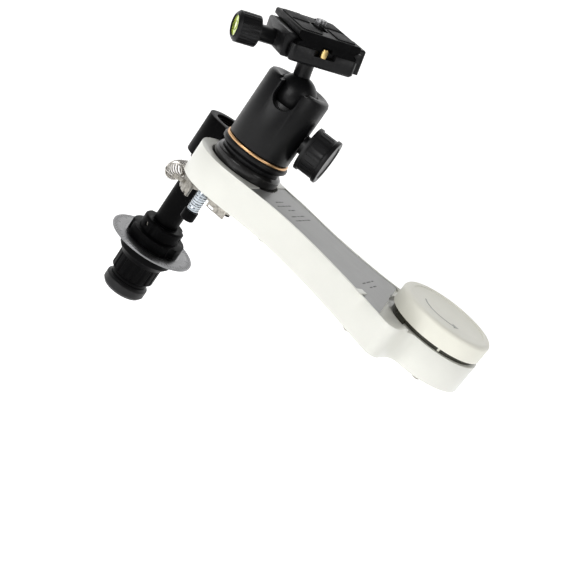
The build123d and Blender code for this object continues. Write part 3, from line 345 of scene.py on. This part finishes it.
def tube(name, pts, r, mat, body, seg=10, closed=False, taper=0):
    """A round wire swept through points, with parallel-transport frames."""
    bm = bmesh.new()
    rings = []
    n = len(pts)
    t_prev = None
    nx = None
    for i, p in enumerate(pts):
        a = pts[max(0, i - 1)]
        b = pts[min(n - 1, i + 1)]
        t = (b - a).normalized()
        if nx is None:
            ref = Vector((0, 0, 1)) if abs(t.z) < 0.9 else Vector((1, 0, 0))
            nx = ref.cross(t).normalized()
        else:
            q = t_prev.rotation_difference(t)
            nx = (q @ nx).normalized()
        t_prev = t
        ny = t.cross(nx)
        k = 1.0
        if taper:
            k = min(1.0, 0.35 + 0.65 * min(i, n - 1 - i) / taper)
        rings.append([bm.verts.new(p + (nx * math.cos(2 * math.pi * j / seg) + ny * math.sin(2 * math.pi * j / seg)) * r * k) for j in range(seg)])
    for i in range(n - 1):
        for j in range(seg):
            bm.faces.new((rings[i][j], rings[i][(j + 1) % seg], rings[i + 1][(j + 1) % seg], rings[i + 1][j]))
    bm.faces.new(rings[0][::-1])
    bm.faces.new(rings[-1])
    return mesh_object(name, bm, mat, body)


def helix(name, origin, x, y, z, r, pitch, turns, wire, mat, body, steps=28):
    """Thread crest wound on a screw."""
    pts = []
    for i in range(int(turns * steps) + 1):
        a = 2 * math.pi * i / steps
        pts.append(origin + (x * math.cos(a) + y * math.sin(a)) * r + z * (pitch * i / steps))
    return tube(name, pts, wire, mat, body, seg=6, taper=steps // 2)


def slab_field(name, quads, height, mat, body):
    """Many small raised printed or engraved bars as one mesh. quads: (centre, x half, y half, normal)."""
    bm = bmesh.new()
    for c, hx, hy, nrm in quads:
        lo = [bm.verts.new(c + hx * sx + hy * sy) for sx, sy in ((-1, -1), (1, -1), (1, 1), (-1, 1))]
        hi = [bm.verts.new(c + hx * sx * 0.93 + hy * sy * 0.9 + nrm * height) for sx, sy in ((-1, -1), (1, -1), (1, 1), (-1, 1))]
        bm.faces.new(hi)
        for k in range(4):
            bm.faces.new((lo[k], lo[(k + 1) % 4], hi[(k + 1) % 4], hi[k]))
    return mesh_object(name, bm, mat, body)


ZUP = Vector((0, 0, 1))


def polar(r, deg, z, cx=0.0, cy=0.0):
    a = math.radians(deg)
    return V(cx + r * math.cos(a), cy + r * math.sin(a), z)


# ---------------------------------------------------------------- counter-spring: a real coil bent round the rotor end
pts = []
A0, A1, TURNS = 166.5, 206.5, 8
for i in range(TURNS * 18 + 1):
    s = i / (TURNS * 18)
    az = A0 + (A1 - A0) * s
    ph = 2 * math.pi * TURNS * s
    rr = 5.6 - 0.6
    er = Vector((math.cos(math.radians(az)), math.sin(math.radians(az)), 0))
    pts.append(V(0, 0, -26.5) + er * (34.2 + rr * math.cos(ph)) * MM + ZUP * rr * math.sin(ph) * MM)
coil = tube("counter_spring_coil", pts, 0.00058, "spring_steel", "housing", seg=8)
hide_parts("counter_spring")

hook = [polar(39.2, 165.5, -26.5), polar(38.8, 164.0, -24.6), polar(37.0, 163.0, -23.0), polar(34.8, 163.4, -22.4), polar(32.8, 164.6, -22.2), polar(31.0, 166.0, -21.4), polar(29.6, 167.5, -20.0)]


def smooth_path(ps, n=8):
    out = []
    for i in range(len(ps) - 1):
        p0, p1, p2, p3 = ps[max(0, i - 1)], ps[i], ps[i + 1], ps[min(len(ps) - 1, i + 2)]
        for k in range(n):
            t = k / n
            out.append(0.5 * ((2 * p1) + (p2 - p0) * t + (2 * p0 - 5 * p1 + 4 * p2 - p3) * t * t + (3 * p1 - p0 - 3 * p2 + p3) * t ** 3))
    out.append(ps[-1])
    return out


tube("counter_spring_hook", smooth_path(hook), 0.00057, "spring_steel", "housing", seg=10)
hook2 = [polar(39.2, 206.0, -26.5), polar(38.4, 208.5, -27.6), polar(35.5, 211.5, -27.6), polar(32.6, 214.5, -27.4), polar(31.0, 216.0, -26.4)]
tube("counter_spring_end", smooth_path(hook2), 0.00057, "spring_steel", "housing", seg=10)

# ---------------------------------------------------------------- threads
helix("camera_screw_thread", T(0, 0, 42.9), U, W, N, 3.02 * MM, 1.27 * MM, 2.8, 0.00024, "silver", "plate_screw")
sx, sy = -2.2, -25.6
helix("anchor_stud_thread", V(sx, sy, -33.8), Vector((1, 0, 0)), Vector((0, 1, 0)), ZUP, 3.3 * MM, 1.5 * MM, 9, 0.00045, "zinc_steel", "housing")
bpy.data.objects["anchor_stud_thread"].data.materials[0] = M["stud_zinc"]

# ---------------------------------------------------------------- index marks, scales and generic print
quads = []
for k in range(72):
    az = k * 5.0
    long_ = k % 6 == 0
    r0, r1 = (24.6, 29.0) if long_ else (26.8, 29.0)
    a = math.radians(az)
    er = Vector((math.cos(a), math.sin(a), 0))
    et = Vector((-math.sin(a), math.cos(a), 0))
    quads.append((polar((r0 + r1) / 2, az, -87.1, -35.5, 28.4), er * ((r1 - r0) / 2 * MM), et * 0.00016, ZUP))
slab_field("date_disc_scale", quads, 0.00006, "ink", "disc")
quads = [(c - ZUP * 0.0012, x, y * -1, ZUP * -1) for c, x, y, _ in quads]
slab_field("date_disc_scale_under", quads, 0.00006, "ink", "disc")

# generic rows of dashes on the label plate
quads = []
ex = Vector((1, 0, 0))
ey = Vector((0, 1, 0))


def print_row(x, y0, y1, lens):
    """One row of generic dashes running across the arm."""
    total = sum(lens) + 0.9 * (len(lens) - 1)
    k = (y1 - y0) / total
    y = y0
    for ln in lens:
        c = V(x, y + ln * k / 2, -0.5)
        quads.append((c, ey * (ln * k / 2 * MM), ex * -0.00042, ZUP))
        y += (ln + 0.9) * k


print_row(32.8, -12.0, -2.0, (3.0, 2.2, 1.2))
print_row(36.6, -15.8, 3.0, (2.4, 1.2, 3.4, 1.8, 2.6))
print_row(40.7, -7.5, 1.5, (1.6, 2.8))
print_row(46.4, -13.2, 5.0, (2.8, 1.0, 2.2))
print_row(50.2, -13.8, 7.0, (1.4, 3.2, 2.0, 1.2, 2.4))
print_row(105.6, -23.0, -5.0, (2.2, 3.0, 1.4))
print_row(109.6, -19.5, -9.0, (1.8, 2.4))
slab_field("label_plate_print", quads, 0.00005, "ink", "housing")

# arrow that shows which way the cap is wound
bm = bmesh.new()
segs = 26
ring_i, ring_o = [], []
for i in range(segs + 1):
    az = 205 + 95 * i / segs
    ring_i.append(bm.verts.new(polar(15.0, az, 11.93, 150, 0)))
    ring_o.append(bm.verts.new(polar(16.2, az, 11.93, 150, 0)))
for i in range(segs):
    bm.faces.new((ring_i[i], ring_o[i], ring_o[i + 1], ring_i[i + 1]))
tip = [bm.verts.new(polar(12.9, 300, 11.93, 150, 0)), bm.verts.new(polar(18.3, 300, 11.93, 150, 0)), bm.verts.new(polar(15.6, 315, 11.93, 150, 0))]
bm.faces.new(tip)
bmesh.ops.recalc_face_normals(bm, faces=bm.faces)
arr = mesh_object("winding_arrow", bm, "soft_ink", "winding")
sd = arr.modifiers.new("thick", "SOLIDIFY")
sd.thickness = 0.00006
sd.offset = 0

# ---------------------------------------------------------------- bubble and ring in the level vial
bm = bmesh.new()
bmesh.ops.create_uvsphere(bm, u_segments=28, v_segments=14, radius=1.0)
for v in bm.verts:
    p = v.co.copy()
    v.co = T(-47.35 + p.z * 0.16, p.x * 1.5 + 0.5, 29.6 + p.y * 1.4 + 0.6)
bubble = mesh_object("vial_bubble", bm, "bubble", "jaw_knob")
ringpts = [T(-47.38, 2.5 * math.cos(2 * math.pi * i / 48), 29.6 + 2.5 * math.sin(2 * math.pi * i / 48)) for i in range(49)]
tube("vial_circle", ringpts, 0.00014, "ink", "jaw_knob", seg=6)
ringpts = [T(-47.7, 6.6 * math.cos(2 * math.pi * i / 64), 29.6 + 6.6 * math.sin(2 * math.pi * i / 64)) for i in range(65)]
tube("vial_bezel", ringpts, 0.00045, "black_anodised", "jaw_knob", seg=10)

# ---------------------------------------------------------------- stage: a pale sweep of paper
right = Vector((0.96321, 0.26874, 0.0))
up = Vector((-0.08407, 0.30132, 0.94981))
back = Vector((0.25525, -0.91487, 0.31283))
fwd = Vector((-back.x, -back.y, 0)).normalized()
side = Vector((fwd.y, -fwd.x, 0))
prof = []
for i in range(14):
    prof.append((-2.2 + i * 0.25, -0.150))
for i in range(1, 25):
    a = math.radians(90 * i / 24)
    prof.append((1.05 + 1.4 * math.sin(a), -0.150 + 1.4 * (1 - math.cos(a))))
for i in range(1, 9):
    prof.append((2.45, 1.25 + i * 0.35))
bm = bmesh.new()
rows = []
for d, z in prof:
    rows.append([bm.verts.new(fwd * d + side * s + Vector((0, 0, z + 0.0004 * noise.noise(Vector((d * 3, s * 3, 0)))))) for s in [(-4.5 + 0.5 * k) for k in range(19)]])
for i in range(len(rows) - 1):
    for j in range(18):
        bm.faces.new((rows[i][j], rows[i][j + 1], rows[i + 1][j + 1], rows[i + 1][j]))
me = bpy.data.meshes.new("paper_sweep")
bm.to_mesh(me)
bm.free()
for p in me.polygons:
    p.use_smooth = True
sweep = bpy.data.objects.new("paper_sweep", me)
bpy.context.scene.collection.objects.link(sweep)
mt, nt, b = new_mat("white_paper")
tc = nt.nodes.new("ShaderNodeTexCoord")
nz = noise_tex(nt, tc.outputs["Object"], 3.0, 6.0, 0.6)
nt.links.new(ramp(nt, nz, [(0.3, (0.90, 0.90, 0.90)), (0.7, (0.93, 0.93, 0.93))]), b.inputs["Base Color"])
b.inputs["Roughness"].default_value = 0.9
b.inputs["Specular IOR Level"].default_value = 0.1
b.inputs["Emission Color"].default_value = (1, 1, 1, 1)
b.inputs["Emission Strength"].default_value = 0.70
me.materials.append(mt)

world = bpy.data.worlds.new("studio")
bpy.context.scene.world = world
world.use_nodes = True
bg = world.node_tree.nodes["Background"]
bg.inputs["Color"].default_value = (1.0, 1.0, 1.0, 1)
bg.inputs["Strength"].default_value = 0.22

CENTRE = V(60, 0, 10)
imr = right * math.cos(math.radians(36.38)) + up * math.sin(math.radians(36.38))
imu = right * -math.sin(math.radians(36.38)) + up * math.cos(math.radians(36.38))


def area(name, offset, size, size_y, energy, col=(1, 1, 1)):
    """Soft box placed by image right, image up and towards the camera, aimed at the object."""
    li = bpy.data.lights.new(name, "AREA")
    li.shape = "RECTANGLE"
    li.size, li.size_y = size, size_y
    li.energy = energy
    li.color = col
    ob = bpy.data.objects.new(name, li)
    pos = CENTRE + imr * offset[0] + imu * offset[1] + back * offset[2]
    ob.location = pos
    d = (pos - CENTRE).normalized()
    ob.rotation_euler = d.to_track_quat("Z", "Y").to_euler()
    bpy.context.scene.collection.objects.link(ob)
    return ob


area("key_softbox", (-0.45, 0.35, 1.0), 0.6, 0.6, 5.6)
area("fill_softbox", (0.85, -0.2, 0.75), 0.4, 0.8, 2.9)
area("left_strip", (-0.95, 0.15, 0.15), 0.2, 0.9, 0.1)
area("back_softbox", (0.1, 1.0, -0.3), 0.9, 0.3, 0.9)

# ---------------------------------------------------------------- camera at the photograph's angle
cam = bpy.data.cameras.new("camera")
co = bpy.data.objects.new("camera", cam)
bpy.context.scene.collection.objects.link(co)
P = V(75, 0, 0) + (right * -7.42 + up * -36.68 + back * 595.0) * MM
X, Y, Z = imr.normalized(), imu.normalized(), back.normalized()
co.matrix_world = Matrix(((X.x, Y.x, Z.x, P.x), (X.y, Y.y, Z.y, P.y), (X.z, Y.z, Z.z, P.z), (0, 0, 0, 1)))
cam.sensor_width = 36.0
cam.lens = 1023.1 / 579.0 * 36.0
cam.clip_start, cam.clip_end = 0.01, 20.0
bpy.context.scene.camera = co
bpy.context.scene.view_settings.view_transform = "Standard"
bpy.context.scene.view_settings.look = "None"
bpy.context.scene.view_settings.exposure = 0.0
